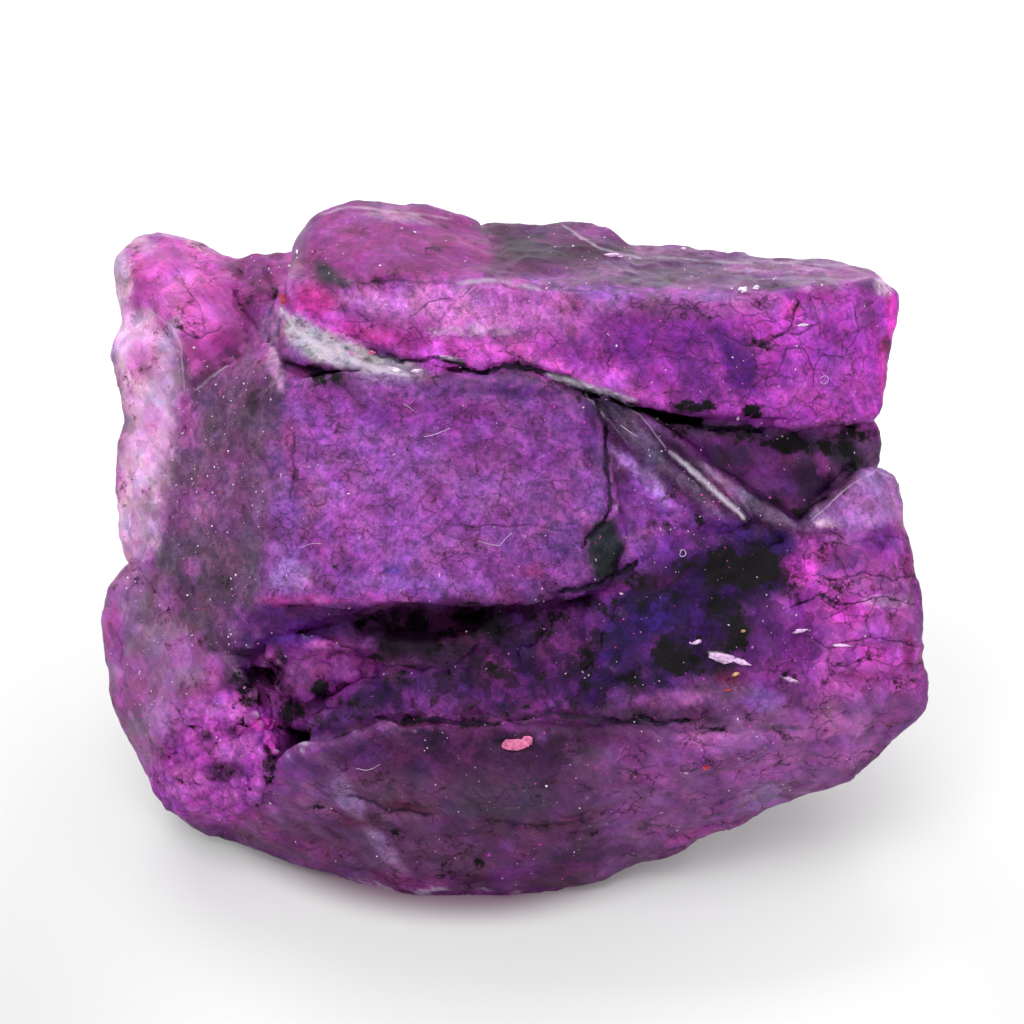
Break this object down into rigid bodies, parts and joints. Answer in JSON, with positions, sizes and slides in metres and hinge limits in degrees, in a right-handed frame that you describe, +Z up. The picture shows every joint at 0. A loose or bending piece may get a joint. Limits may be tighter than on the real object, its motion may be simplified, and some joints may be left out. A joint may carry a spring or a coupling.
{
  "type": "rough purple mineral specimen",
  "caption": "Rough, broken lump of purple stone with ledges, blades, pockets and scooped breaks, resting on one flat underside.",
  "frame": {"origin": "the middle of the stone's box, at the level of its resting face", "axes": "+X to the right along the stone's length, +Y away from its broken front, +Z up"},
  "size_m": [0.0648, 0.0426, 0.0444],
  "materials": {
    "stone": "purple and magenta stained stone with a dark crack network, black pockets, glassy fracture faces and pale thin rims"
  },
  "bodies": {
    "root": {"stone": "stone"}
  },
  "joints": []
}
